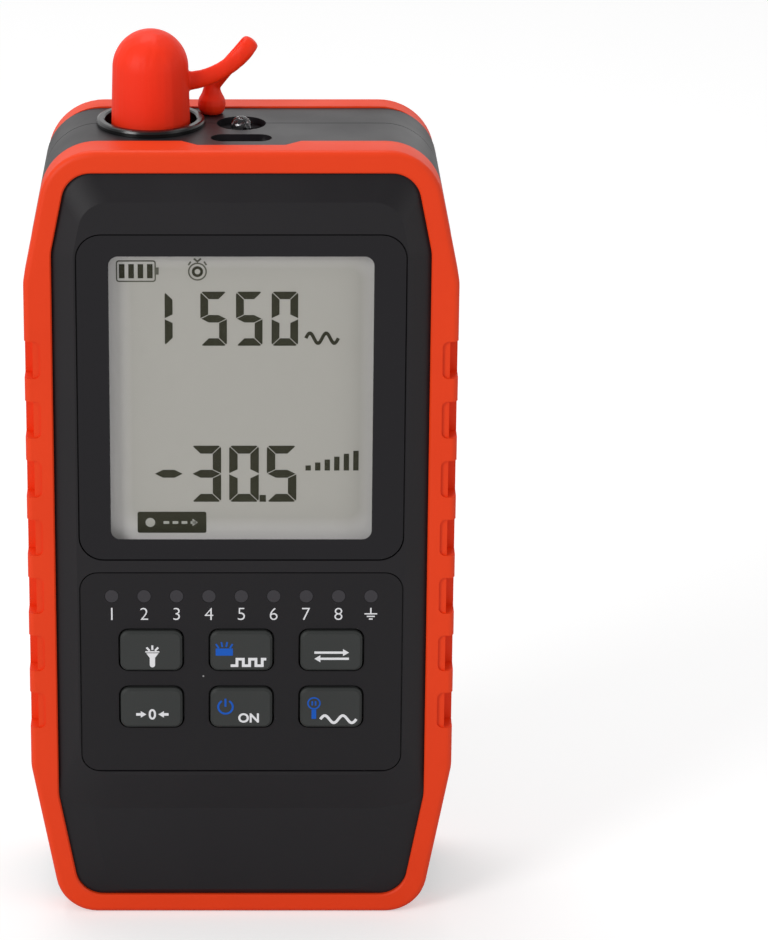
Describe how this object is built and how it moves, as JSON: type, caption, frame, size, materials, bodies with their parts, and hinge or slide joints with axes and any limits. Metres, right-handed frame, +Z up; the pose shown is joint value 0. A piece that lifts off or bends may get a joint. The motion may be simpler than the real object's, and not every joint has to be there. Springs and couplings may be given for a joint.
{
  "type": "optical power meter",
  "caption": "Palm-size optical power meter: rubber-bumpered case, display window, sprung keys, lamp row, USB slot, foot network jack and a fibre port under a tethered cap.",
  "frame": {"origin": "middle of the foot of the bumpers, where the upright meter stands", "axes": "+Z up the case to the fibre port, display and keys face -Y, +X to the right of the display"},
  "size_m": [0.064, 0.03, 0.1361],
  "materials": {
    "cover_black": "fine matt texture",
    "bumper_orange": "satin elastomer",
    "silicone_orange": "matt silicone",
    "window_clear": "polished",
    "overlay_black": "fine matt film",
    "key_grey": "satin",
    "display_glass": "grey-green reflective display",
    "light_white": "diffusing",
    "frame_white": "moulded",
    "foam_black": "foam",
    "zebra_grey": "layered elastomer",
    "mat_grey": "silicone",
    "dome_steel": "sprung sheet",
    "guide_clear": "clear moulding",
    "lamp_white": "encapsulated",
    "board_green": "solder resist",
    "chip_black": "moulded epoxy",
    "buzzer_black": "moulded",
    "cell_foil": "laminated foil",
    "tape_white": "adhesive foam",
    "connector_white": "moulded",
    "lead_red": "insulated wire",
    "plated_steel": "tin plated",
    "blade_black": "moulded",
    "collar_black": "polished",
    "adapter_nickel": "nickel plated",
    "ceramic_white": "polished ceramic",
    "can_gold": "gold plated",
    "lead_tin": "tinned",
    "lamp_clear": "clear epoxy",
    "jack_black": "moulded",
    "contact_gold": "gold plated",
    "screw_steel": "zinc plated"
  },
  "bodies": {
    "meter": {"front_cover": "cover_black", "rear_cover": "cover_black", "front_bumper": "bumper_orange", "rear_bumper": "bumper_orange", "display_window": "window_clear", "keypad_overlay": "overlay_black", "lcd_gasket": "foam_black", "lcd_glass": "display_glass", "lcd_backlight": "light_white", "zebra_strip": "zebra_grey", "lcd_frame": "frame_white", "keypad_mat": "mat_grey", "dome_switches": "dome_steel", "light_guide": "guide_clear", "indicator_leds": "lamp_white", "main_board": "board_green", "processor_chip": "chip_black", "amplifier_chip": "chip_black", "charger_chip": "chip_black", "buzzer": "buzzer_black", "battery_cell": "cell_foil", "battery_tape": "tape_white", "battery_plug": "connector_white", "battery_header": "connector_white", "battery_leads": "lead_red", "usb_socket": "plated_steel", "usb_blade": "blade_black", "port_collar": "collar_black", "port_adapter": "adapter_nickel", "ferrule_sleeve": "ceramic_white", "photodiode": "can_gold", "photodiode_leads": "lead_tin", "torch_led": "lamp_clear", "torch_led_leads": "lead_tin", "network_jack": "jack_black", "jack_contacts": "contact_gold", "case_screws": "screw_steel", "board_screws": "screw_steel"},
    "torch_key": {"key_torch": "key_grey"},
    "cont_key": {"key_cont": "key_grey"},
    "unit_key": {"key_unit": "key_grey"},
    "ref_key": {"key_ref": "key_grey"},
    "auto_key": {"key_auto": "key_grey"},
    "wave_key": {"key_wave": "key_grey"},
    "cap": {"dust_cap": "silicone_orange"}
  },
  "joints": [
    {"name": "torch_key_press", "type": "slide", "parent": "meter", "child": "torch_key", "axis": [0, 1, 0], "range_m": [0, 0.0008], "stiffness_N_per_m": 1200, "springref_m": -0.0004},
    {"name": "cont_key_press", "type": "slide", "parent": "meter", "child": "cont_key", "axis": [0, 1, 0], "range_m": [0, 0.0008], "stiffness_N_per_m": 1200, "springref_m": -0.0004},
    {"name": "unit_key_press", "type": "slide", "parent": "meter", "child": "unit_key", "axis": [0, 1, 0], "range_m": [0, 0.0008], "stiffness_N_per_m": 1200, "springref_m": -0.0004},
    {"name": "ref_key_press", "type": "slide", "parent": "meter", "child": "ref_key", "axis": [0, 1, 0], "range_m": [0, 0.0008], "stiffness_N_per_m": 1200, "springref_m": -0.0004},
    {"name": "auto_key_press", "type": "slide", "parent": "meter", "child": "auto_key", "axis": [0, 1, 0], "range_m": [0, 0.0008], "stiffness_N_per_m": 1200, "springref_m": -0.0004},
    {"name": "wave_key_press", "type": "slide", "parent": "meter", "child": "wave_key", "axis": [0, 1, 0], "range_m": [0, 0.0008], "stiffness_N_per_m": 1200, "springref_m": -0.0004},
    {"name": "dust_cap_pull", "type": "slide", "parent": "meter", "child": "cap", "axis": [0, 0, 1], "range_m": [0, 0.016]}
  ]
}
